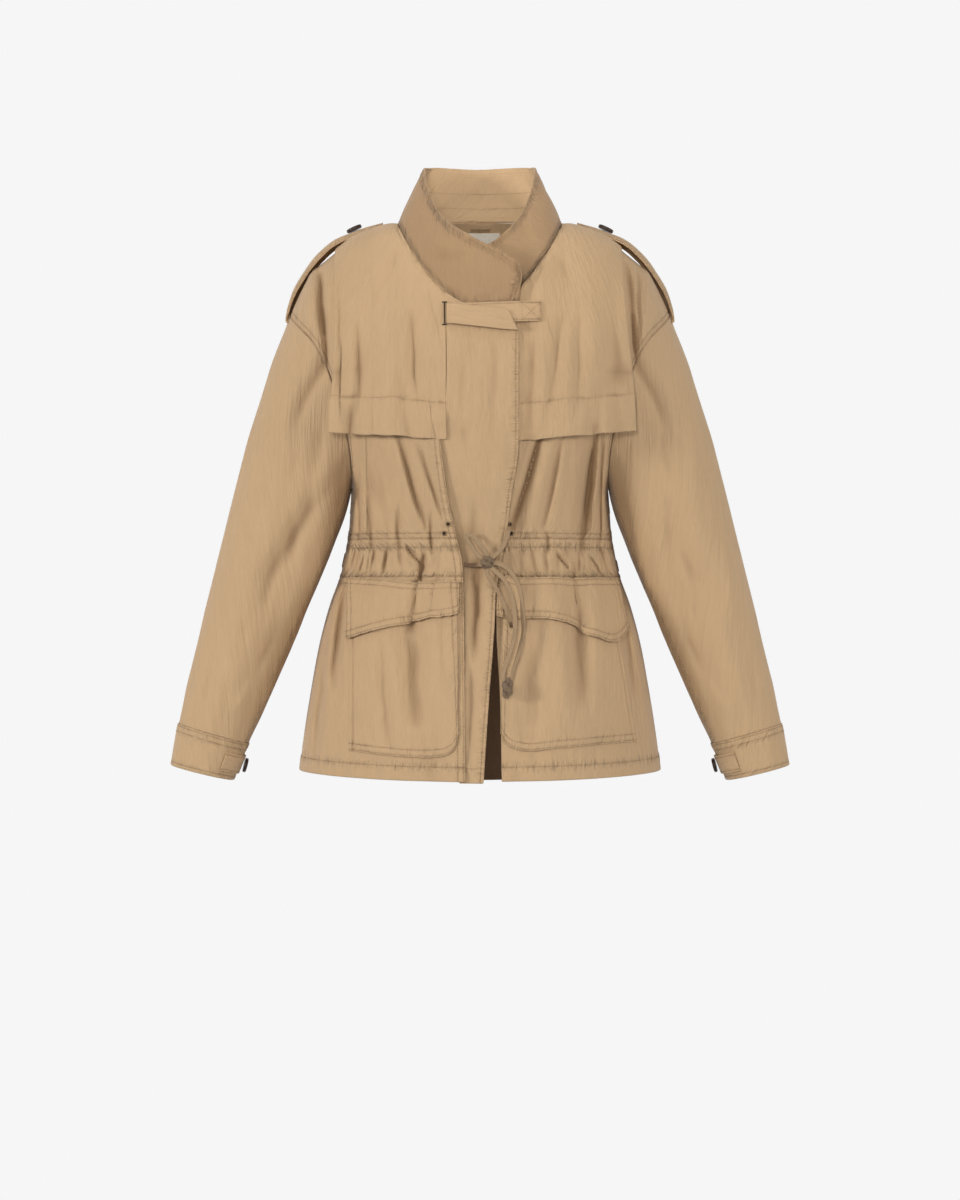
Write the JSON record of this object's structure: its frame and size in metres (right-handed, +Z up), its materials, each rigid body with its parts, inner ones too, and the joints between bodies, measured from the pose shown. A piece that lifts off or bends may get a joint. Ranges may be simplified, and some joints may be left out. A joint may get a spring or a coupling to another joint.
{
  "type": "trench jacket, filled out with no wearer",
  "caption": "Short cotton trench jacket in worn shape: funnel collar with throat latch, storm flaps, epaulettes, drawstring waist, flap pockets and buttoned cuffs.",
  "frame": {"origin": "the middle of the neck opening, level with the seam of the back neck, where the wearer's neck and shoulders hold the jacket up", "axes": "+Z up, the front faces -Y, +X toward the wearer's left side"},
  "size_m": [0.7254, 0.3311, 0.7405],
  "materials": {
    "cotton": "tan cotton twill, washed, faintly crinkled",
    "tape": "flat tape of the same cotton",
    "button": "dark brown, low gloss",
    "eyelet": "antiqued dark",
    "label": "plain off-white woven",
    "thread": "dark thread bar"
  },
  "bodies": {
    "root": {"back_left": "cotton", "back_right": "cotton", "bow_knot": "tape", "casing_back": "cotton", "casing_left": "cotton", "casing_right": "cotton", "collar": "cotton", "cuff_button_left": "button", "cuff_button_right": "button", "cuff_left": "cotton", "cuff_right": "cotton", "cuff_tab_left": "cotton", "cuff_tab_right": "cotton", "drawstring_inner_strand": "tape", "drawstring_left_run": "tape", "drawstring_loop": "tape", "drawstring_outer_strand": "tape", "drawstring_right_run": "tape", "drawstring_short_end": "tape", "end_knot": "tape", "epaulette_button_left": "button", "epaulette_button_right": "button", "epaulette_left": "cotton", "epaulette_right": "cotton", "eyelet_left_low": "eyelet", "eyelet_left_top": "eyelet", "eyelet_right_low": "eyelet", "eyelet_right_top": "eyelet", "front_left": "cotton", "front_right": "cotton", "hanger_loop": "cotton", "latch_bar": "thread", "neck_label": "label", "placket": "cotton", "pocket_flap_left": "cotton", "pocket_flap_right": "cotton", "pocket_left": "cotton", "pocket_right": "cotton", "skirt_back": "cotton", "skirt_left": "cotton", "skirt_right": "cotton", "sleeve_left_back": "cotton", "sleeve_left_front": "cotton", "sleeve_right_back": "cotton", "sleeve_right_front": "cotton", "storm_flap_left": "cotton", "storm_flap_right": "cotton", "throat_latch": "cotton"}
  },
  "joints": []
}
